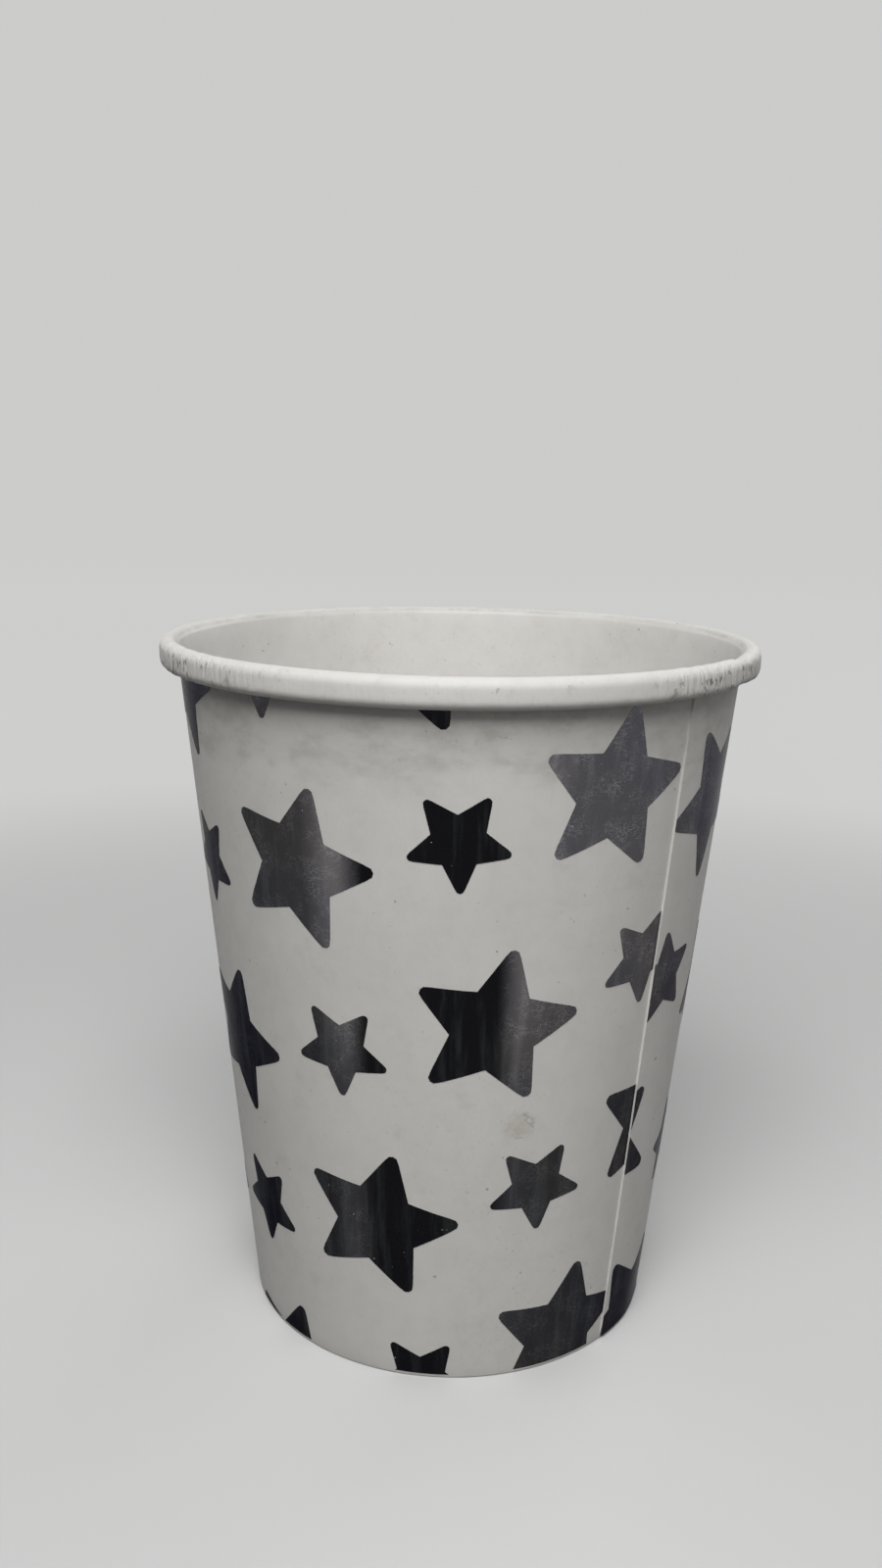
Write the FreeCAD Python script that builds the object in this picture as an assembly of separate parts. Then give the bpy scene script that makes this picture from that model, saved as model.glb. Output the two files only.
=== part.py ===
import FreeCAD, Part
import math
import os

from FreeCAD import Vector

os.makedirs("parts", exist_ok=True)

# A paper party cup: a rolled side wall, a let-in bottom disc and printed foil stars.
# The cup stands on its foot with the middle of the foot at the origin and the axis along +Z.
# Azimuths are in degrees, 0 at the front (-Y) and positive towards +X.

# Driving dimensions in millimetres and degrees

# The board and the cup as a whole
board = 0.30                # thickness of the paper board, the same for wall and bottom
cup_height = 91.8
base_radius = 27.5          # outside of the wall at the floor
wall_top_radius = 36.7      # outside of the wall at wall_top_height
wall_top_height = 90.0

# The rolled rim
roll_width = 2.3            # from the outside of the wall at wall_top_height to that of the roll
roll_height = 3.7           # from the underside of the roll to its top
roll_clearance = 0.10       # between the wall and the end of the board inside the roll
bends = 2                   # sharp bends that stand for a quarter turn of the board

# The foot, folded in and up around the skirt of the bottom
hem_height = 5.0            # top edge of the folded ply inside the foot
skirt_clearance = 0.15      # between the skirt's lower edge and the fold

# The bottom disc
bottom_recess = 7.2         # underside of the disc above the floor
bottom_bend_radius = 0.75   # middle of the board where the disc turns down into its skirt

# The glued side seam
seam_azimuth = 47.5         # cut edge of the outer ply
seam_overlap = 11.0         # degrees of lap
seam_run_in = 15.0          # degrees in which the outer ply comes back to the plain radius

# The foil stars, laid out on the flat blank as (across, up) from the foot of the front line
foil = 0.06                 # thickness of a foil star
first_star = (-19.5, 67.7)
row_step = (14.0, 27.8)
column_step = (24.5, -17.8)
small_star_offset = (19.8, 5.5)
big_star_radius = 10.2      # centre to tip
small_star_radius = 6.15
big_star_turn = 11.7        # clockwise from upright
small_star_turn = 33.5
notch_share = 0.53          # centre to notch as a share of centre to tip
star_points = 5
smallest_scrap = 3.0        # square millimetres: a smaller corner of a cut star is left off

# Sizes that follow from the driving dimensions

rise = (wall_top_radius - base_radius) / wall_top_height
tilt = math.atan(rise)
tilt_degrees = math.degrees(tilt)
ply = board / math.cos(tilt)             # the board measured level
rim_radius = wall_top_radius + roll_width
roll_bottom = cup_height - roll_height
fold_radius = board / 2                  # middle of the board in the foot's corners, creased inside
fold_top = board + fold_radius           # the wall is straight from here up

# The half turn over the top of the roll starts where the wall ends.
middle_at_floor = base_radius - ply / 2
outer_leg = rim_radius - board / 2
top_room = outer_leg - middle_at_floor - rise * (cup_height - board / 2)
top_turn = top_room / (1 + math.cos(tilt) - rise * (1 - math.sin(tilt)))
roll_start = cup_height - board / 2 - top_turn * (1 - math.sin(tilt))
wall_join = roll_start - board           # level line where the wall's section hands over to the roll's

# The lower turn brings the board back up beside the wall.
leg_gap = (board + roll_clearance) / math.cos(tilt)
low_room = outer_leg - middle_at_floor - rise * (roll_bottom + board / 2) - leg_gap
low_turn = low_room / (1 + math.cos(tilt) + rise * math.sin(tilt) + rise)
leg_length = roll_height - board - top_turn - low_turn

# The outer ply leaves the plain circle and joins the lap's circle, one ply further out, along two
# equal and opposite arcs. Each arc's centre is moved by run_in_shift from the cup's axis.
lap_end = seam_azimuth + seam_overlap
run_in_middle = lap_end + seam_run_in / 2
run_in_end = lap_end + seam_run_in
run_in_shift = ply / (2 * (1 - math.cos(math.radians(seam_run_in / 2))))


def wall_radius(height):
    """Outside radius of the single-ply wall."""
    return base_radius + rise * height


def around(azimuth):
    """Level unit vector that points to an azimuth."""
    angle = math.radians(azimuth)
    return Vector(math.sin(angle), -math.cos(angle), 0)


def folded_strip(right_start, left_start, bend_start, heading, moves):
    """Face of a folded strip of board in the XZ plane, given as (radius, height) points.

    The strip's right and left faces run straight from their start points towards bend_start, where
    its middle meets the first turn. A move is ("run", length) straight ahead or ("turn", radius,
    degrees, bends) to the right, in flats that touch the turn's arc. Lengths and radii are those of
    the middle of the board.
    """
    faces = (([Vector(*right_start)], board / 2), ([Vector(*left_start)], -board / 2))
    heading = math.radians(heading)
    middle = Vector(*bend_start)

    def reach(stretch=1.0):
        right_hand = Vector(math.sin(heading), -math.cos(heading))
        for points, side in faces:
            points.append(middle + right_hand * side * stretch)

    def forward(length):
        return Vector(math.cos(heading), math.sin(heading)) * length

    for kind, length, *turning in moves:
        if kind == "run":
            middle += forward(length)
            continue
        degrees, count = turning
        half_bend = math.radians(degrees) / count / 2
        for _ in range(count):
            middle += forward(length * math.tan(half_bend))
            heading -= half_bend
            reach(1 / math.cos(half_bend))
            heading -= half_bend
            middle += forward(length * math.tan(half_bend))
    reach()
    corners = [Vector(point.x, 0, point.y) for point in faces[0][0] + faces[1][0][::-1]]
    return Part.Face(Part.makePolygon(corners + corners[:1]))


def full_turn(face):
    """Revolve a section about the cup's axis."""
    return face.revolve(Vector(0, 0, 0), Vector(0, 0, 1), 360)


def rolled_rim():
    """The board rolled outwards over the top, down, and up again beside the wall."""
    outside = wall_radius(wall_join)
    section = folded_strip(
        right_start=(outside, wall_join),
        left_start=(outside - ply, wall_join),
        bend_start=(middle_at_floor + rise * roll_start, roll_start),
        heading=90 - tilt_degrees,
        moves=[
            ("turn", top_turn, 90 - tilt_degrees, bends),
            ("turn", top_turn, 90, bends),
            ("run", leg_length),
            ("turn", low_turn, 90, bends),
            ("turn", low_turn, 90 / bends, 1),
        ],
    )
    return full_turn(section)


def foot_hem():
    """The board folded inwards at the floor and up inside the foot, with a ply's room between."""
    outside = wall_radius(fold_top)
    bend_height = board / 2 + fold_radius * (1 - math.sin(tilt))
    flat_length = 2 * (board - fold_radius) / math.cos(tilt)
    section = folded_strip(
        right_start=(outside - ply, fold_top),
        left_start=(outside, fold_top),
        bend_start=(middle_at_floor + rise * bend_height, bend_height),
        heading=-90 - tilt_degrees,
        moves=[
            ("turn", fold_radius, 90 - tilt_degrees, bends),
            ("run", flat_length),
            ("turn", fold_radius, 90 + tilt_degrees, bends),
            ("run", (hem_height - bend_height) / math.cos(tilt)),
        ],
    )
    return full_turn(section)


def wall_strip(inset, outset, low, high, start, end, shift=0.0, centre_azimuth=0.0):
    """A stretch of conical sheet between two azimuths and two heights.

    The sheet lies between the plain wall's outside less inset and plus outset. Its circles have
    their centre moved by shift towards centre_azimuth, and their radius is smaller by as much.
    """
    centre = around(centre_azimuth) * shift
    corners = [
        Vector(wall_radius(height) + side - shift, 0, height)
        for height, side in ((low, -inset), (low, outset), (high, outset), (high, -inset))
    ]
    section = Part.Face(Part.makePolygon(corners + corners[:1]))
    section.rotate(Vector(0, 0, 0), Vector(0, 0, 1), start - 90)
    section.translate(centre)
    return section.revolve(centre, Vector(0, 0, 1), end - start)


def spiral_sheet(inset, outset, low, high, plain_end):
    """The sheet's plain part and, from the lap back to the plain circle, its outer ply."""
    return [
        wall_strip(inset, outset, low, high, run_in_end, plain_end + 360),
        wall_strip(inset, outset, low, high, run_in_middle, run_in_end, -run_in_shift, run_in_end),
        wall_strip(inset - ply, outset + ply, low, high, lap_end, run_in_middle, run_in_shift, lap_end),
        wall_strip(inset - ply, outset + ply, low, high, seam_azimuth, lap_end),
    ]


def side_wall():
    """One folded blank: the lapped cone, the rolled rim and the folded foot."""
    sheets = spiral_sheet(ply, 0, fold_top, wall_join, lap_end)
    return sheets[0].multiFuse(sheets[1:] + [rolled_rim(), foot_hem()]).removeSplitter()


def bottom_disc():
    """A disc whose edge turns down into a skirt, held between the wall and the foot's hem."""
    skirt_at_floor = middle_at_floor - ply
    disc_middle = bottom_recess + board / 2
    bend_end = disc_middle - bottom_bend_radius * (1 + math.sin(tilt))
    skirt_end = board + skirt_clearance
    bend_reach = bottom_bend_radius * math.cos(tilt)
    section = folded_strip(
        right_start=(0, bottom_recess),
        left_start=(0, bottom_recess + board),
        bend_start=(skirt_at_floor + rise * bend_end - bend_reach, disc_middle),
        heading=0,
        moves=[
            ("turn", bottom_bend_radius, 90 + tilt_degrees, bends),
            ("run", (bend_end - skirt_end) / math.cos(tilt)),
        ],
    )
    return full_turn(section)


def wrapped(across, up):
    """Azimuth and height on the wall of a point of the flat blank."""
    apex_distance = base_radius / math.sin(tilt)
    distance = math.hypot(across, apex_distance + up)
    azimuth = math.degrees(math.atan2(across, apex_distance + up)) / math.sin(tilt)
    return azimuth, (distance * math.sin(tilt) - base_radius) / rise


def star_prism(centre, radius, turn):
    """A star of the flat blank, wrapped to the wall and run level through it."""
    half_step = math.pi / star_points
    centre_azimuth, centre_height = wrapped(*centre)
    outward = around(centre_azimuth)
    sideways = around(centre_azimuth + 90)
    reach = radius / 2 + board
    depth = wall_radius(centre_height) - reach
    corners = []
    for number in range(2 * star_points):
        angle = math.radians(turn) + half_step * number
        distance = radius * (notch_share if number % 2 else 1)
        across = centre[0] + distance * math.sin(angle)
        up = centre[1] + distance * math.cos(angle)
        azimuth, height = wrapped(across, up)
        aside = wall_radius(height) * math.sin(math.radians(azimuth - centre_azimuth))
        corners.append(outward * depth + sideways * aside + Vector(0, 0, height))
    return Part.Face(Part.makePolygon(corners + corners[:1])).extrude(outward * (2 * reach))


def one_side_of_the_seam(side):
    """Block that holds the cup's quarter before (-1) or after (+1) the outer ply's cut edge."""
    size = 2 * cup_height
    block = Part.makeBox(size, size, size)
    if side < 0:
        block.translate(Vector(0, -size, 0))
    block.rotate(Vector(0, 0, 0), Vector(0, 0, 1), seam_azimuth - 90)
    return block


def foil_stars():
    """Two sizes of star in one slanting lattice over the whole blank, cut at its edges."""
    sheets = spiral_sheet(0, foil, fold_top, roll_bottom, seam_azimuth)
    skin = sheets[0].multiFuse(sheets[1:])
    kinds = ((0, big_star_radius, big_star_turn), (1, small_star_radius, small_star_turn))
    rows = range(-12, 13)
    stars = []
    for row in rows:
        for column in rows:
            for is_small, radius, turn in kinds:
                centre = tuple(
                    first_star[k] + row * row_step[k] + column * column_step[k]
                    + is_small * small_star_offset[k]
                    for k in (0, 1)
                )
                azimuth, height = wrapped(*centre)
                if not fold_top - radius < height < roll_bottom + radius:
                    continue
                half_width = math.degrees(math.asin(radius / wall_radius(height)))
                if not seam_azimuth - 360 - half_width < azimuth < seam_azimuth + half_width:
                    continue
                prism = star_prism(centre, radius, turn)
                if azimuth > seam_azimuth - half_width:
                    prism = prism.common(one_side_of_the_seam(-1))
                if azimuth < seam_azimuth - 360 + half_width:
                    prism = prism.common(one_side_of_the_seam(1))
                star = prism.common(skin)
                stars += [piece for piece in star.Solids if piece.Volume > smallest_scrap * foil]
    return Part.makeCompound(stars)


def main():
    """Write each node of the cup to its own file."""
    nodes = {"side_wall": side_wall(), "bottom_disc": bottom_disc(), "foil_stars": foil_stars()}
    for name, shape in nodes.items():
        print(name, "valid", shape.isValid(), "solids", len(shape.Solids), "mm3", round(shape.Volume, 1))
        shape.exportStep(f"parts/{name}.step")


main()
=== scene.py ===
# %% [markdown]
# # A paper party cup with foil stars
#
# The real cup is one blank of white board, printed flat with foil stars, rolled into a cone and glued
# along one side. Its top edge is rolled outwards into a round rim, and its foot is folded up inside
# round the skirt of a separate bottom disc. This lesson makes each of those pieces as a surface worked
# out with numpy, in millimetres, and gives it a material made of nodes. The solid model is loaded
# first, because it says how large everything is and which node each new piece stands for.

# %% The solid model
import math

import bmesh
import bpy
import numpy as np
from mathutils import Matrix, Vector


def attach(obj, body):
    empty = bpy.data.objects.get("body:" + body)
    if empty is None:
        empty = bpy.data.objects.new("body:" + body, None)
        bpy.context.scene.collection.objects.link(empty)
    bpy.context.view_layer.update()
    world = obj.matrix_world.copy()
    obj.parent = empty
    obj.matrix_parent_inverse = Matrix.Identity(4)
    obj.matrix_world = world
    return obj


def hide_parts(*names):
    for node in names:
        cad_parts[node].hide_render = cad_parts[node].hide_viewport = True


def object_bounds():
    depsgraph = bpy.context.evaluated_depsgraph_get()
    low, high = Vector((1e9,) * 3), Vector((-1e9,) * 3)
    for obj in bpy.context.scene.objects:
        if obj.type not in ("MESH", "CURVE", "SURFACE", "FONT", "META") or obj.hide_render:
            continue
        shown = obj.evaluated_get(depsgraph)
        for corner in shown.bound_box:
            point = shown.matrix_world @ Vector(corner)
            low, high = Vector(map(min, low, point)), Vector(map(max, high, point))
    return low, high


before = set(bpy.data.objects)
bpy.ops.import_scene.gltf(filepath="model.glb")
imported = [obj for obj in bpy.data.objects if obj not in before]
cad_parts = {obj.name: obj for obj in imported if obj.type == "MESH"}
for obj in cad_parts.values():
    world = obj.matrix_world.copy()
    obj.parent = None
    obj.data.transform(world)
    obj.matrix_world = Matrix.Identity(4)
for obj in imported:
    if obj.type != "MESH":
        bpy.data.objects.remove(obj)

cad_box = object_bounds()
MM = 0.001
cup_height = cad_box[1].z / MM
rim_radius = cad_box[1].x / MM
print("nodes:", sorted(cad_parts), "height", round(cup_height, 2), "rim radius", round(rim_radius, 2))

# %% [markdown]
# ## Sizes of the board
#
# A maker thinks of this cup as board of one thickness on a cone, so the few sizes below are enough to
# place every piece. The wall's outside is a straight line in section: a radius at the floor and a
# steady rise. Azimuths are 0 at the front (-Y) and positive towards +X, and those named here are in
# degrees.

# %% Sizes in millimetres
board = 0.30
base_radius = 27.5
wall_top_radius = 36.7
wall_top_height = 90.0
roll_height = 3.7
roll_clearance = 0.1
hem_height = 5.0
fold_radius = 0.20
bottom_recess = 7.2
bottom_bend = 0.75
bottom_sag = 0.2
skirt_clearance = 0.15
seam_azimuth = 47.5
seam_overlap = 11.0
seam_run_in = 15.0

rise = (wall_top_radius - base_radius) / wall_top_height
tilt = math.atan(rise)
ply = board / math.cos(tilt)
middle_at_floor = base_radius - ply / 2
roll_bottom = cup_height - roll_height


def wall_radius(height):
    """Outside radius of the single wall: the radius at the floor plus the rise times the height."""
    return base_radius + rise * height


print("the wall leans out by", round(math.degrees(tilt), 2), "degrees; the roll starts at", roll_bottom)

# %% [markdown]
# ## From arrays to a mesh
#
# Every piece here is a grid of points: rows run along one parameter and columns along the other. A
# mesh could be made face by face, but whole arrays are shorter and faster. The grid's faces are index
# arrays, and foreach_set copies them into the mesh at once. Where two columns share a place, as
# beside a step, the doubles are welded afterwards so that the surface stays closed.

# %% Grid helpers
weld_distance = 0.002
sharp_angle = math.radians(40)


def grid_faces(rows, columns, close_rows, close_columns):
    """Corner indices of a grid's quads: a point, the next in its row, and the same two one row on."""
    row = np.arange(rows if close_rows else rows - 1)
    column = np.arange(columns if close_columns else columns - 1)
    r, c = np.meshgrid(row, column, indexing="ij")
    r_next, c_next = (r + 1) % rows, (c + 1) % columns
    corners = [r * columns + c, r * columns + c_next, r_next * columns + c_next, r_next * columns + c]
    return np.stack(corners, axis=-1).reshape(-1, 4)


def shaded(mesh):
    """The mesh shaded smooth, but for the edges where it bends sharply."""
    mesh.shade_smooth()
    mesh.set_sharp_from_angle(angle=sharp_angle)
    return mesh


def placed(name, mesh):
    """An object at the origin that shows the mesh."""
    piece = bpy.data.objects.new(name, mesh)
    bpy.context.scene.collection.objects.link(piece)
    return piece


def grid_piece(name, points, close_rows):
    """A piece from a grid of points in millimetres whose columns go once round, its doubles welded."""
    faces = grid_faces(points.shape[0], points.shape[1], close_rows, True)
    mesh = bpy.data.meshes.new(name)
    mesh.vertices.add(points.size // 3)
    mesh.vertices.foreach_set("co", (np.asarray(points, np.float32) * MM).ravel())
    mesh.loops.add(faces.size)
    mesh.loops.foreach_set("vertex_index", faces.astype(np.int32).ravel())
    mesh.polygons.add(len(faces))
    mesh.polygons.foreach_set("loop_start", np.arange(0, faces.size, 4, dtype=np.int32))
    mesh.update(calc_edges=True)
    mesh.validate()
    work = bmesh.new()
    work.from_mesh(mesh)
    bmesh.ops.remove_doubles(work, verts=work.verts, dist=weld_distance * MM)
    bmesh.ops.recalc_face_normals(work, faces=work.faces)
    work.to_mesh(mesh)
    work.free()
    triangles = sum(len(polygon.vertices) - 2 for polygon in mesh.polygons)
    print(name, "points", len(mesh.vertices), "triangles", triangles)
    return placed(name, shaded(mesh))


def around(azimuth, radius, height):
    """Points at azimuths in radians: the sine and minus the cosine times the radius, and the height."""
    parts = np.broadcast_arrays(radius * np.sin(azimuth), radius * -np.cos(azimuth), height)
    return np.stack(parts, axis=-1)


# %% [markdown]
# ## The fold of the board
#
# Cut through the cup and the blank shows as one thin strip: down the hem inside the foot, round the
# fold, up the wall, over the top of the rim, and down and back under it. So the section is made as
# the maker folds it. A path goes along the middle of the board in straight runs and turns, and the
# two faces of the board lie half its thickness to either side.

# %% Path helpers
def folded_path(start, heading, moves):
    """Points (radius, height) and headings along the middle of the board.

    Each move is a size, a turn and a count of points. Where the turn is 0, the path goes straight on by
    the size. Elsewhere the size is a radius: the centre lies that far off, square to the path, and the
    angle about it grows evenly.
    """
    places, angles = [np.array([start])], [np.array([heading])]
    for size, turn, count in moves:
        here, angle = places[-1][-1], angles[-1][-1]
        share = np.linspace(0, 1, count + 1)[1:]
        if turn == 0:
            step = np.array([math.cos(angle), math.sin(angle)]) * size
            places.append(here + share[:, None] * step)
            angles.append(np.full(count, angle))
        else:
            side = math.copysign(1, turn)
            centre = here + side * size * np.array([-math.sin(angle), math.cos(angle)])
            turned = angle + share * turn
            places.append(centre + side * size * np.stack([np.sin(turned), -np.cos(turned)], axis=1))
            angles.append(turned)
    return np.concatenate(places), np.concatenate(angles)


def left_of(angles):
    """Unit vectors square to the path, on its left hand: minus the sine and the cosine of the heading."""
    return np.stack([-np.sin(angles), np.cos(angles)], axis=1)


# %% [markdown]
# ## The wall's section
#
# The two radii of the roll follow from the rim's size: the board has to leave the wall along its
# slope and come down level with the rim's outer edge. The end of the board turns in under the roll
# and stops before it meets the wall.

# %% Section of the wall blank
outer_leg = rim_radius - board / 2
rim_top = cup_height - board / 2
rim_low = roll_bottom + board / 2
to_wall = (board + roll_clearance) / math.cos(tilt)
top_turn = (outer_leg - middle_at_floor - rise * rim_top) / (
    1 + math.cos(tilt) - rise * (1 - math.sin(tilt)))
low_turn = (outer_leg - middle_at_floor - rise * rim_low - to_wall) / (
    1 + math.cos(tilt) + rise * math.sin(tilt) + rise)
leg_length = roll_height - board - top_turn - low_turn
roll_start = rim_top - top_turn * (1 - math.sin(tilt))
fold_start = board / 2 + fold_radius * (1 - math.sin(tilt))
hem_length = (hem_height - fold_start) / math.cos(tilt)
hem_top = (middle_at_floor - 2 * ply + rise * hem_height, hem_height)

section, section_angles = folded_path(
    start=hem_top,
    heading=-math.pi / 2 - tilt,
    moves=[
        (hem_length, 0, 4),
        (fold_radius, math.pi / 2 + tilt, 5),
        (2 * (board - fold_radius) / math.cos(tilt), 0, 1),
        (fold_radius, math.pi / 2 - tilt, 5),
        ((roll_start - fold_start) / math.cos(tilt), 0, 44),
        (top_turn, tilt - math.pi, 12),
        (leg_length, 0, 3),
        (low_turn, -math.radians(135), 8),
    ],
)
print("section rows", len(section), "top", round(section[:, 1].max() + board / 2, 3), "mm")

# %% [markdown]
# ## Round the cup: the lap and the rim's flutes
#
# A plain revolve would have no glue seam. Here every column has its own thickness: from the cut edge
# the wall is two plies thick, and past the lap the outer ply sinks back to the plain cone while the
# inner one is gone. A pair of columns at one azimuth makes each cut edge a clean step. On the rim the
# board is squeezed as it rolls, which leaves small upright flutes, so a sum of waves with random
# phases presses the rolled part in by up to a tenth of a millimetre. In the fold at the foot the lap
# is squeezed flat.

# %% Side wall
def eased(share):
    """A smooth fall from 1 to 0: one minus three squares plus two cubes of the share."""
    share = np.clip(share, 0, 1)
    return 1 - share * share * (3 - 2 * share)


def blank_columns(count):
    """Azimuths in radians once round from the cut edge, and how far each ply has moved out, in plies."""
    lap = np.linspace(0, seam_overlap, 14)
    run_in = np.linspace(0, seam_run_in, 20)
    plain = np.linspace(seam_overlap + seam_run_in, 360, count)[1:]
    turn = np.concatenate([lap, seam_overlap + run_in, plain])
    back = eased(run_in / seam_run_in)
    outer = np.concatenate([np.ones_like(lap), back, np.zeros_like(plain)])
    inner = np.concatenate([np.zeros_like(lap), back, np.zeros_like(plain)])
    return np.radians(seam_azimuth + turn), outer, inner


def flutes(azimuth, rng, count=26):
    """Share from 0 to 1 by which the rolled rim is pressed in: a sum of waves, strongest in three lobes.

    The lobes lie 60 degrees to the left and right of the front, and at the back: minus the cosine of
    three times the azimuth.
    """
    waves = rng.integers(44, 128, count)
    phases = rng.uniform(0, 2 * math.pi, count)
    fine = np.cos(np.outer(azimuth, waves) + phases).sum(axis=1) / math.sqrt(count)
    lobes = 0.25 + 0.75 * np.clip(-np.cos(3 * azimuth), 0, 1)
    return np.clip(0.5 + 0.33 * fine * lobes, 0, 1)


azimuths, outer_shift, inner_shift = blank_columns(490)
loop = np.concatenate([section, section[::-1]])
loop_left = np.concatenate([left_of(section_angles), left_of(section_angles)[::-1]])
loop_radius, loop_height = loop[:, 0, None], loop[:, 1, None]
is_inside = np.concatenate([np.ones(len(section)), np.zeros(len(section))])[:, None]

lap_full_height, lap_fade = 0.75, 0.6
lap_share = eased((lap_full_height - loop_height) / lap_fade)
offset_inside = board / 2 - board * inner_shift * lap_share
offset_outside = -board / 2 - board * outer_shift * lap_share
offset = is_inside * offset_inside + (1 - is_inside) * offset_outside

flute_depth, flute_fade = 0.11, 0.8
on_roll = np.clip((loop_height - roll_bottom + flute_fade / 2) / flute_fade, 0, 1)
on_roll = on_roll * np.clip((loop_radius - wall_radius(loop_height) + ply) / flute_fade, 0, 1)
offset = offset - is_inside * on_roll * flute_depth * flutes(azimuths, np.random.default_rng(7))

wall_points = around(
    azimuths,
    radius=loop_radius + loop_left[:, 0, None] * offset,
    height=loop_height + loop_left[:, 1, None] * offset,
)
side_wall = grid_piece("cup_wall", wall_points, close_rows=True)

# %% [markdown]
# ## The bottom
#
# The bottom is punched from the same board and pressed into a shallow pan whose edge turns down. Its
# section starts on the cup's axis, so the innermost columns all share one point, which the weld
# closes. The pan sags by a fifth of a millimetre in the middle, as thin board does once it has dried.

# %% Bottom disc
bend_end = bottom_recess + board / 2 - bottom_bend * (1 + math.sin(tilt))
pan_radius = middle_at_floor - ply + rise * bend_end - bottom_bend * math.cos(tilt)
pan, pan_angles = folded_path(
    start=(0, bottom_recess + board / 2),
    heading=0.0,
    moves=[
        (pan_radius, 0, 18),
        (bottom_bend, -math.pi / 2 - tilt, 7),
        ((bend_end - board - skirt_clearance) / math.cos(tilt), 0, 4),
    ],
)
pan[:, 1] -= bottom_sag * eased(pan[:, 0] / pan_radius)
pan_side = left_of(pan_angles) * board / 2
pan_loop = np.concatenate([pan + pan_side, (pan - pan_side)[::-1]])
pan_azimuths = np.radians(np.arange(0, 360, 2.0))
pan_points = around(pan_azimuths, radius=pan_loop[:, 0, None], height=pan_loop[:, 1, None])
bottom = grid_piece("cup_bottom", pan_points, close_rows=False)

# %% [markdown]
# ## The foil stars
#
# The print is laid out on the flat blank before it is rolled, so the stars stand in one slanting
# lattice that the seam cuts through. The stars could be painted on by the wall's own material, but
# foil is a finish of its own that someone may want to change, so each star is a thin piece of foil.
# It is made on the flat blank, trimmed with straight cuts where the blank ends, and then wrapped.

# %% Star outline
foil = 0.05
notch_share = 0.53
half_step = math.pi / 5


def star_reach(angle, radius, tip_round):
    """Distance from a star's centre to its edge, at an angle from a tip.

    The tip is a circle that ends at the radius. A straight edge runs from the notch and touches that
    circle, so its lean is the angle to the circle's centre less the arc sine of the circle's radius over
    that distance. Along the edge, one over the reach changes evenly between the sines of the two angles.
    """
    notch = notch_share * radius
    notch_out, notch_up = notch * math.sin(half_step), notch * math.cos(half_step)
    centre = radius - tip_round
    to_centre = math.hypot(notch_out, centre - notch_up)
    lean = math.atan2(notch_out, centre - notch_up) - math.asin(tip_round / to_centre)
    sharp = notch_up + notch_out / math.tan(lean)
    from_tip = np.abs((angle + half_step) % (2 * half_step) - half_step)
    straight = math.sin(half_step) / (np.sin(half_step - from_tip) / sharp + np.sin(from_tip) / notch)
    touch = math.atan2(tip_round * math.cos(lean), centre + tip_round * math.sin(lean))
    inside = np.clip(tip_round**2 - (centre * np.sin(from_tip)) ** 2, 0, None)
    rounded = centre * np.cos(from_tip) + np.sqrt(inside)
    return np.where(from_tip < touch, rounded, straight)


# %% Star lattice on the flat blank
apex = base_radius / math.sin(tilt)
first_star = np.array([-19.5, 67.7])
row_step = np.array([14.0, 27.8])
column_step = np.array([24.5, -17.8])
lattice_half = 12
print_bottom, print_top = board + fold_radius + 0.05, roll_bottom + 1.0
star_kinds = (
    ((0.0, 0.0), {"radius": 10.2, "turn": 11.7, "tip_round": 0.8, "rings": 7}),
    ((19.8, 5.5), {"radius": 6.15, "turn": 33.5, "tip_round": 0.52, "rings": 5}),
)


def wrapped(flat):
    """Azimuth in degrees and height of points of the flat blank.

    The blank is part of a ring round the cone's apex. The angle at the apex grows by one over the sine
    of the tilt, and the distance from it shrinks to the radius by that sine.
    """
    across, up = flat[..., 0], flat[..., 1] + apex
    azimuth = np.degrees(np.arctan2(across, up)) / math.sin(tilt)
    height = (np.hypot(across, up) * math.sin(tilt) - base_radius) / rise
    return np.stack([azimuth, height], axis=-1)


def star_sheet(centre, radius, turn, tip_round, rings):
    """One star as (azimuth, height): rings of points at even shares of its reach, from the centre out.

    The angles lie closest near the tips, and are mirrored about each notch.
    """
    to_notch = np.concatenate([np.linspace(0, 0.32, 5), np.linspace(0.45, 1, 5)]) * half_step
    tip_to_tip = np.concatenate([to_notch, 2 * half_step - to_notch[-2:0:-1]])
    angles = (np.arange(5)[:, None] * 2 * half_step + tip_to_tip).ravel()
    heading = angles + math.radians(turn)
    ray = np.stack([np.sin(heading), np.cos(heading)], axis=-1)
    ray = ray * star_reach(angles, radius, tip_round)[:, None]
    share = np.linspace(0, 1, rings)[:, None, None]
    return wrapped(centre + share * ray)


def trimmed(work, place, outward):
    """Cut the flat mesh along a straight line and drop what lies on the line's outward side."""
    everything = list(work.verts) + list(work.edges) + list(work.faces)
    bmesh.ops.bisect_plane(
        work, geom=everything, dist=1e-6, plane_co=place, plane_no=outward, clear_outer=True)


# %% Foil on the wall
edge_inset = 0.001


def foil_points(azimuth, height, lift):
    """Points a lift above the wall's outside, which stands a ply further out on the lap.

    The azimuths are in degrees. Those on the cut edge count as just inside the blank.
    """
    inset = np.clip(azimuth, seam_azimuth - 360 + edge_inset, seam_azimuth - edge_inset)
    past_edge = (inset - seam_azimuth) % 360
    plies_out = eased((past_edge - seam_overlap) / seam_run_in)
    return around(np.radians(azimuth), wall_radius(height) + ply * plies_out + lift, height)


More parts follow.
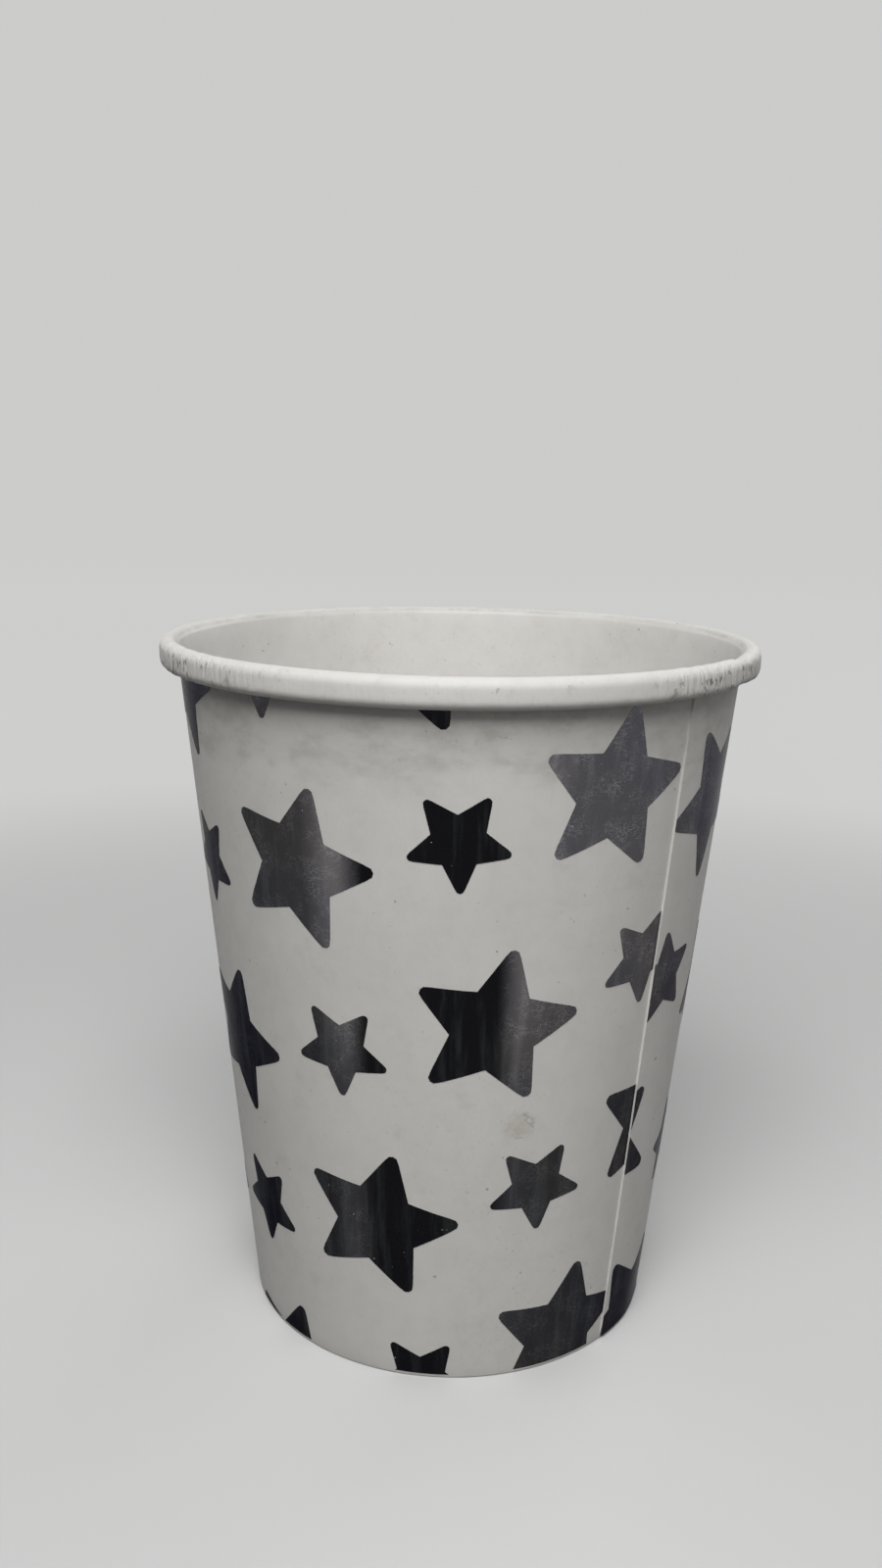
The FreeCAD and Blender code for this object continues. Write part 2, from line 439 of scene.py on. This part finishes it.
def add_star(work, centre, shape):
    """Add one star to the flat mesh, with azimuth and height as its X and Y, if it reaches the blank."""
    azimuth, height = wrapped(centre)
    reach = math.degrees(shape["radius"] / wall_radius(height))
    if not seam_azimuth - 360 - reach < azimuth < seam_azimuth + reach:
        return
    if not print_bottom - shape["radius"] < height < print_top + shape["radius"]:
        return
    sheet = star_sheet(centre, **shape)
    rings, columns = sheet.shape[:2]
    flat = np.concatenate([sheet.reshape(-1, 2), np.zeros((rings * columns, 1))], axis=1)
    star = bpy.data.meshes.new("star")
    star.from_pydata(flat.tolist(), [], grid_faces(rings, columns, False, True).tolist())
    work.from_mesh(star)
    bpy.data.meshes.remove(star)


def flat_print():
    """All the stars of the lattice that reach the blank, as one flat mesh trimmed to it."""
    work = bmesh.new()
    for row in range(-lattice_half, lattice_half + 1):
        for column in range(-lattice_half, lattice_half + 1):
            for offset, shape in star_kinds:
                add_star(work, first_star + row * row_step + column * column_step + offset, shape)
    bmesh.ops.remove_doubles(work, verts=work.verts, dist=1e-4)
    trimmed(work, (seam_azimuth, 0, 0), (1, 0, 0))
    trimmed(work, (seam_azimuth - 360, 0, 0), (-1, 0, 0))
    trimmed(work, (0, print_bottom, 0), (0, -1, 0))
    trimmed(work, (0, print_top, 0), (0, 1, 0))
    work.verts.index_update()
    return work


def foil_sheet(work):
    """The flat mesh laid on the wall: its faces turned inwards, the same faces a foil's thickness further
    out, and a side that joins the two at each open edge.
    """
    count = len(work.verts)
    azimuth, height, _ = np.tile(np.array([point.co for point in work.verts]), (2, 1)).T
    points = foil_points(azimuth, height, np.repeat([0.0, foil], count)) * MM
    outer = [[point.index + count for point in face.verts] for face in work.faces]
    inner = [[corner - count for corner in reversed(face)] for face in outer]
    open_edges = [
        (corner.vert.index, corner.link_loop_next.vert.index)
        for face in work.faces for corner in face.loops if corner.edge.is_boundary
    ]
    sides = [(start, end, end + count, start + count) for start, end in open_edges]
    mesh = bpy.data.meshes.new("foil_print")
    mesh.from_pydata(points.tolist(), [], inner + outer + sides)
    return mesh


flat_stars = flat_print()
foil_mesh = foil_sheet(flat_stars)
flat_stars.free()
stars = placed("foil_print", shaded(foil_mesh))
print("foil: points", len(foil_mesh.vertices), "faces", len(foil_mesh.polygons))

# %% [markdown]
# ## Writing a material as sums
#
# A node tree is hard to read as a list of links. The small class below wraps one number of a material,
# so that masks can be written as ordinary sums and products, such as 1 - mask. Each operator adds the
# Math node that does it. Any other node comes from one method, which takes the node's type, its
# settings and its inputs.

# %% Material helpers
class Amount:
    """One varying number of a material, with ordinary arithmetic on it."""

    def __init__(self, recipe, socket):
        self.recipe = recipe
        self.socket = socket

    def _math(self, operation, *terms):
        return self.recipe.node("ShaderNodeMath", {"operation": operation}, dict(enumerate(terms)))

    def __add__(self, other):
        return self._math("ADD", self, other)

    def __sub__(self, other):
        return self._math("SUBTRACT", self, other)

    def __rsub__(self, other):
        return self._math("SUBTRACT", other, self)

    def __mul__(self, other):
        return self._math("MULTIPLY", self, other)

    def __truediv__(self, other):
        return self._math("DIVIDE", self, other)

    def between(self, low, high):
        """0 below low, 1 above high and smooth between; the other way round where high is the smaller."""
        if low > high:
            return 1 - self.between(high, low)
        settings = {"interpolation_type": "SMOOTHSTEP"}
        inputs = {"Value": self, "From Min": low, "From Max": high}
        return self.recipe.node("ShaderNodeMapRange", settings, inputs)


class Recipe:
    """A material and the nodes in it."""

    def __init__(self, name, even):
        self.material = bpy.data.materials.new(name)
        self.material.use_nodes = True
        self.tree = self.material.node_tree
        self.shader = self.tree.nodes["Principled BSDF"]
        for socket, value in even.items():
            self.shader.inputs[socket].default_value = value

    def node(self, kind, settings=None, inputs=None, output=0):
        """One node of a type: its settings first, then the values or links of its inputs."""
        made = self.tree.nodes.new(kind)
        for name, value in (settings or {}).items():
            setattr(made, name, value)
        for name, value in (inputs or {}).items():
            if isinstance(value, Amount):
                self.tree.links.new(value.socket, made.inputs[name])
            else:
                made.inputs[name].default_value = value
        return Amount(self, made.outputs[output])

    def place(self, across=1000.0, upright=1000.0):
        """Object coordinates in millimetres, or stretched by other scales per metre."""
        point = self.node("ShaderNodeTexCoord", output="Object")
        scale = (across, across, upright)
        return self.node("ShaderNodeVectorMath", {"operation": "MULTIPLY"}, {0: point, 1: scale})

    def axis(self, vector, number):
        """One part of a vector: 0, 1 or 2 for X, Y or Z."""
        return self.node("ShaderNodeSeparateXYZ", inputs={0: vector}, output=number)

    def noise(self, vector, scale=1.0, detail=2.0, roughness=0.5):
        """A cloudy number about 0.5 at this many lumps per unit of the vector."""
        inputs = {"Vector": vector, "Scale": scale, "Detail": detail, "Roughness": roughness}
        return self.node("ShaderNodeTexNoise", inputs=inputs)

    def tinted(self, amount, plain, tint):
        """A colour that goes from plain to tint as the amount goes from 0 to 1."""
        settings = {"data_type": "RGBA"}
        return self.node("ShaderNodeMix", settings, {0: amount, 6: plain, 7: tint}, output=2)

    def bump(self, height, distance, below=None):
        """A bumped normal from a height of 0 to 1, this many metres deep, on top of another."""
        inputs = {"Height": height, "Distance": distance, "Strength": 1.0}
        if below is not None:
            inputs["Normal"] = below
        return self.node("ShaderNodeBump", inputs=inputs)

    def finish(self, **sockets):
        """Link what varies to the shader and hand over the material."""
        for name, value in sockets.items():
            self.tree.links.new(value.socket, self.shader.inputs[name.replace("_", " ").title()])
        return self.material


# %% [markdown]
# ## White board
#
# The board is a warm white with a faint cloudiness, a little yellowed in places and a little glossier
# on the coated inside. It isn't quite clean. The rim has small dark ticks where the rolled board has
# cracked, and dust. Under the rim the wall has painted shade: an even grey with cloudy darker patches,
# down to an uneven lower edge. The wall also has faint upright rubs, and one small tan stain with a
# broken dark edge on its front. Specks and fainter dots are scattered over all of it. The masks below
# use the height and the distance from the axis, so each mark keeps its place on the cup.

# %% Colours of the board and the stain's place
white = (0.70, 0.685, 0.655, 1.0)
shaded_white = (0.60, 0.585, 0.555, 1.0)
# The dark colour of all the dirt, and of the painted shade under the rim.
grime_and_shade = (0.20, 0.17, 0.14, 1.0)
tan = (0.42, 0.36, 0.27, 1.0)
stain_azimuth, stain_height = math.radians(15.5), 36.5
stain_place = tuple(around(stain_azimuth, wall_radius(stain_height), stain_height))


# %% Marks of the rim, the wall and the stain, and painted shade under the rim
def rim_marks(recipe, point, height, on_rim, lobes):
    """Ticks at the lobes of the rim's outside, and dust all round it."""
    ticks = recipe.noise(recipe.place(1000.0, 420.0), 2.1).between(0.56, 0.64)
    ticks = ticks * recipe.noise(point, 0.22).between(0.42, 0.52)
    ticks = ticks * on_rim * lobes * height.between(cup_height - 0.4, cup_height - 1.3)
    dust = recipe.noise(point, 0.5, 4.0, 0.7).between(0.56, 0.80) * on_rim
    return ticks * 0.9 + dust * 0.26


def wall_shade_and_rubs(recipe, height, off_rim):
    """Painted shade under the rim, cloudy, down to an uneven edge, and upright rubs all over."""
    uneven = recipe.noise(recipe.place(120.0, 200.0), 1.0, 4.0, 0.6) * 16 - 8
    shade_under_rim = (height + uneven).between(77.5, 81.5) * off_rim
    shade_patches = recipe.noise(recipe.place(220.0, 420.0), 1.0, 5.0, 0.65).between(0.40, 0.72) * shade_under_rim
    rubbed = recipe.noise(recipe.place(900.0, 60.0), 1.0, 3.0, 0.6).between(0.60, 0.80)
    # The first amount is painted shade under the rim, the second the rubs.
    return shade_patches * 0.22 + shade_under_rim * 0.08, rubbed * 0.05


def stain_marks(recipe, point):
    """The stain's tan and its dark edge, by the distance from its place, made ragged with noise."""
    settings = {"operation": "DISTANCE"}
    distance = recipe.node("ShaderNodeVectorMath", settings, {0: point, 1: stain_place}, output=1)
    spread = distance + recipe.noise(point, 0.6, 4.0, 0.7) * 6 - 3
    stain = spread.between(2.3, 0.3) * (recipe.noise(point, 1.3, 3.0) * 0.7)
    edge = spread.between(1.2, 1.6) * spread.between(2.2, 1.8)
    edge = edge * recipe.noise(point, 0.6).between(0.46, 0.56)
    return stain, edge * 0.35


# %% Board material
def board_material(name, is_wall):
    """Board with fibres, clouding and specks and, on the wall, the rim's flutes, dirt and painted shade.

    The lobes are those of the rim's flutes: minus the cosine of three times the azimuth is three times
    the azimuth's cosine less four times its cube.
    """
    recipe = Recipe(name, {"Specular IOR Level": 0.35})
    point = recipe.place()
    height = recipe.axis(point, 2)
    x, y = recipe.axis(point, 0), recipe.axis(point, 1)
    radius = recipe.node("ShaderNodeMath", {"operation": "SQRT"}, {0: x * x + y * y})
    out_of_wall = radius - height * rise - base_radius
    inside = out_of_wall.between(-0.12, -0.22)

    clouds = recipe.noise(point, 0.11, 4.0, 0.6)
    mottle = recipe.noise(point, 0.42, 3.0, 0.6)
    fibres = recipe.noise(recipe.place(2600.0, 1500.0), 1.0, 3.0, 0.65)
    shading = clouds.between(0.35, 0.72) * 0.30 + mottle.between(0.38, 0.70) * 0.22 + fibres * 0.22
    colour = recipe.tinted(shading, white, shaded_white)
    yellowed = recipe.noise(point, 0.13, 4.0, 0.65).between(0.58, 0.74) * mottle
    colour = recipe.tinted(yellowed * 0.30, colour, tan)

    specks = recipe.noise(point, 1.15, 1.0).between(0.745, 0.80)
    specks = specks * recipe.noise(point, 0.07).between(0.42, 0.60)
    dots = recipe.noise(point, 1.9, 1.0).between(0.66, 0.74)
    dots = dots * recipe.noise(point, 0.05).between(0.42, 0.62)
    marks_and_shade = specks * 0.6 + dots * 0.13

    grain = recipe.noise(point, 7.0, 2.0, 0.6)
    normal = recipe.bump(fibres * 0.6 + grain * 0.4, 0.00003)

    if is_wall:
        on_rim = height.between(roll_bottom - 0.3, roll_bottom + 0.2) * out_of_wall.between(-0.05, 0.4)
        to_front = y / radius * -1
        lobes = (to_front * 3 - to_front * to_front * to_front * 4).between(-0.1, 0.8)
        pleats = recipe.noise(recipe.place(1000.0, 130.0), 1.35, 2.0, 0.6)
        normal = recipe.bump(pleats * on_rim * (lobes * 0.8 + 0.2), 0.00028, normal)
        outside = 1 - inside
        # Painted shade under the rim, and the rubs.
        shade_under_rim, rubbed = wall_shade_and_rubs(recipe, height, (1 - on_rim) * outside)
        stain, edge = stain_marks(recipe, point)
        marks_and_shade = marks_and_shade + rim_marks(recipe, point, height, on_rim, lobes)
        marks_and_shade = marks_and_shade + shade_under_rim + (rubbed + edge) * outside
        colour = recipe.tinted(stain * outside, colour, tan)

    # The dirt and the painted shade under the rim darken the board towards one dark colour.
    colour = recipe.tinted(marks_and_shade, colour, grime_and_shade)
    roughness = 0.62 - inside * 0.22 + clouds * 0.06
    return recipe.finish(base_color=colour, roughness=roughness, normal=normal)


wall_board = board_material("white_board", True)
bottom_board = board_material("bottom_board", False)
print("board:", len(wall_board.node_tree.nodes), "and", len(bottom_board.node_tree.nodes), "nodes")

# %% [markdown]
# ## Dark foil
#
# Hot-stamped foil is a very thin layer of dark metal. On a cone, what it mirrors is drawn out into
# upright bands, very dark at the front and grey to either side, with thin streaking in them. The pale
# studio here has nothing dark to mirror, so these are painted reflections in the foil's own colour:
# painted reflection bands with painted streaking. It follows the board, so fine crinkles are bumped
# into it, with painted glints along them in the lighter bands, and here and there the foil has not
# taken, which leaves pinholes where the white board shows.

# %% Foil material
def painted_reflection_bands(recipe, point):
    """How much painted reflection there is, which makes the grey bands: none where the cosine of three
    times the azimuth is high, then a sharp rise that fades away, more slowly to the right. A slow noise
    shifts the bands a little, and they are weaker low on the cup.
    """
    x, y, height = (recipe.axis(point, number) for number in (0, 1, 2))
    azimuth = recipe.node("ShaderNodeMath", {"operation": "ARCTAN2"}, {0: x, 1: y * -1})
    shift = recipe.noise(recipe.place(45.0, 9.0)) * 0.35 + 0.05
    wave = recipe.node("ShaderNodeMath", {"operation": "COSINE"}, {0: azimuth * 3 + shift})
    to_right = x.between(0.0, 9.0) * 0.35 + 0.25
    painted_sheen = wave.between(0.76, 0.52) * (wave.between(0.15, 0.62) * (1 - to_right) + to_right)
    return painted_sheen * (height.between(32.0, 68.0) * 0.76 + 0.24)


def foil_material():
    """Dark metal in painted reflection bands, with painted streaking, painted glints and pinholes."""
    recipe = Recipe("dark_foil", {"Specular Tint": (0.42, 0.42, 0.44, 1.0)})
    point = recipe.place()
    # Painted reflection: upright bands by azimuth, very dark at the front and grey to either side.
    painted_sheen = painted_reflection_bands(recipe, point)
    # Painted streaking in the reflection bands, drawn out upright.
    reflection_streaks = recipe.noise(recipe.place(650.0, 20.0), 1.0, 4.0, 0.6).between(0.46, 0.72)
    dark_reflection = recipe.tinted(reflection_streaks, (0.010, 0.010, 0.012, 1.0), (0.027, 0.030, 0.030, 1.0))
    hue = recipe.noise(point, 0.06).between(0.38, 0.62)
    sheen_grey = recipe.tinted(hue, (0.232, 0.217, 0.222, 1.0), (0.202, 0.202, 0.232, 1.0))
    colour = recipe.tinted(painted_sheen * (reflection_streaks * 0.2 + 0.8), dark_reflection, sheen_grey)

    crinkles = recipe.noise(recipe.place(1300.0, 3000.0), 1.0, 3.0, 0.6)
    off_crease = recipe.node("ShaderNodeMath", {"operation": "ABSOLUTE"}, {0: crinkles - 0.5})
    # Painted glints: lighter colour along the creases of the crinkles, in the grey painted bands only.
    painted_glints = off_crease.between(0.045, 0.0) * recipe.noise(point, 0.35).between(0.40, 0.62)
    colour = recipe.tinted(painted_glints * painted_sheen * 0.7, colour, (0.40, 0.40, 0.41, 1.0))
    pinholes = recipe.noise(point, 3.1, 1.0).between(0.79, 0.82)
    pinholes = pinholes * recipe.noise(point, 0.2).between(0.45, 0.60)
    colour = recipe.tinted(pinholes, colour, white)

    roughness = recipe.noise(point, 5.0, 3.0, 0.7) * 0.12 + 0.22
    normal = recipe.bump(crinkles, 0.00004)
    return recipe.finish(base_color=colour, roughness=roughness, metallic=1 - pinholes, normal=normal)


foil_finish = foil_material()
print("foil:", len(foil_finish.node_tree.nodes), "nodes")

# %% [markdown]
# ## Seating the pieces in the frame
#
# Each new piece now takes its finish and moves with the cup's one body, and the node of the solid
# model that it stands for is hidden.

# %% Pieces and their nodes
for piece, node, finish, slot in (
    (side_wall, "side_wall", wall_board, "board"),
    (bottom, "bottom_disc", bottom_board, "bottom_board"),
    (stars, "foil_stars", foil_finish, "foil"),
):
    piece.data.materials.append(finish)
    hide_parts(node)
    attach(piece, "root")

# %% [markdown]
# ## Floor, light and camera
#
# The floor is a large pale sheet that curves up behind the cup, so no horizon shows. The main lamp is
# broad and soft and hangs above the front, a little to the left, as the shine on the rim shows. A weak
# one fills the right, and two behind light the back. The camera doesn't see them. The world lights
# the shadows only faintly, but to the camera it is as pale as the far floor. The camera stands where
# the photographer stood, which was found from the ellipses of the rim and foot.

# %% Floor and backdrop, in metres
seen_glow = (0.60, 0.60, 0.595, 1.0)
nothing = (0.0, 0.0, 0.0, 1.0)


def backdrop():
    """A floor that turns up into a wall: level, then a quarter circle, then upright."""
    front, depth, bend, tall, half_width = -2.6, 1.1, 0.5, 1.6, 2.6
    turn = np.linspace(0, math.pi / 2, 24)
    y = np.concatenate([[front], depth + bend * np.sin(turn), [depth + bend]])
    z = np.concatenate([[0.0], bend - bend * np.cos(turn), [tall]])
    x = np.array([-half_width, half_width])
    points = np.stack(np.broadcast_arrays(x, y[:, None], z[:, None]), axis=-1)
    mesh = bpy.data.meshes.new("backdrop")
    mesh.from_pydata(points.reshape(-1, 3).tolist(), [], grid_faces(len(y), 2, False, False).tolist())
    mesh.shade_smooth()
    return placed("backdrop", mesh)


def backdrop_paper():
    """Pale paper, darker for the light it bounces. Far from the cup it glows where it is seen directly
    or mirrored, and lights nothing.
    """
    even = {"Roughness": 0.9, "Specular IOR Level": 0.1, "Emission Strength": 1.0}
    recipe = Recipe("backdrop_paper", even)
    x, y = (recipe.axis(recipe.place(1.0, 1.0), number) for number in (0, 1))
    far = (x * x + y * y).between(0.006, 0.11)
    camera_ray = recipe.node("ShaderNodeLightPath", output="Is Camera Ray")
    glossy_ray = recipe.node("ShaderNodeLightPath", output="Is Glossy Ray")
    glass_ray = recipe.node("ShaderNodeLightPath", output="Is Transmission Ray")
    seen = (camera_ray + glossy_ray + glass_ray).between(0.0, 0.5)
    near_colour = recipe.tinted(seen, (0.12, 0.12, 0.12, 1.0), (0.64, 0.64, 0.635, 1.0))
    base = recipe.tinted(far, near_colour, nothing)
    glow = recipe.tinted(far * seen, nothing, seen_glow)
    return recipe.finish(base_color=base, emission_color=glow)


floor = backdrop()
floor.data.materials.append(backdrop_paper())

# %% World
world = bpy.data.worlds.new("studio")
bpy.context.scene.world = world
world.use_nodes = True
sky = world.node_tree.nodes["Background"]
sky_light = (0.108, 0.110, 0.113, 1.0)
ray = world.node_tree.nodes.new("ShaderNodeLightPath")
seen_sky = world.node_tree.nodes.new("ShaderNodeMix")
seen_sky.data_type = "RGBA"
seen_sky.inputs[6].default_value = sky_light
seen_sky.inputs[7].default_value = seen_glow
world.node_tree.links.new(ray.outputs["Is Camera Ray"], seen_sky.inputs[0])
world.node_tree.links.new(seen_sky.outputs[2], sky.inputs["Color"])


# %% Lamps
def soft_lamp(name, place, aim, size, power):
    """A square area lamp that looks from one place to another, both in metres."""
    data = bpy.data.lights.new(name, "AREA")
    data.shape = "SQUARE"
    data.size = size
    data.energy = power
    lamp = bpy.data.objects.new(name, data)
    lamp.location = place
    lamp.rotation_euler = (Vector(aim) - Vector(place)).to_track_quat("-Z", "Y").to_euler()
    lamp.visible_camera = False
    bpy.context.scene.collection.objects.link(lamp)


soft_lamp("key", (-0.03, -0.32, 0.46), (0, 0, 0.06), 0.34, 2.75)
soft_lamp("fill", (0.5, -0.6, 0.25), (0, 0, 0.05), 0.5, 0.45)
soft_lamp("back_right", (0.45, 0.62, 0.36), (0, 0, 0.05), 0.5, 1.9)
soft_lamp("back_left", (-0.42, 0.48, 0.30), (0, 0, 0.05), 0.5, 0.9)

# %% Camera of the photograph
longer_side_pixels = 1600
focal_pixels = 1403.4
camera_place = Vector((0.0, -181.56, 113.09)) * MM
pitch_down, swing, lean = 0.2257, -0.0120, 0.0162

forward = Vector((math.sin(swing) * math.cos(pitch_down), math.cos(swing) * math.cos(pitch_down),
                  -math.sin(pitch_down)))
level_right = Vector((math.cos(swing), -math.sin(swing), 0))
level_up = level_right.cross(forward)
right = math.cos(lean) * level_right + math.sin(lean) * level_up
up = math.cos(lean) * level_up - math.sin(lean) * level_right

lens = bpy.data.cameras.new("camera")
lens.sensor_width = 36.0
lens.lens = lens.sensor_width * focal_pixels / longer_side_pixels
lens.clip_start = 0.005
camera = bpy.data.objects.new("camera", lens)
turned = Matrix((right, up, -forward)).transposed().to_4x4()
camera.matrix_world = Matrix.Translation(camera_place) @ turned
bpy.context.scene.collection.objects.link(camera)
bpy.context.scene.camera = camera
bpy.context.scene.view_settings.view_transform = "Standard"
print("lens", round(lens.lens, 2), "mm at", [round(part / MM, 1) for part in camera_place], "mm")
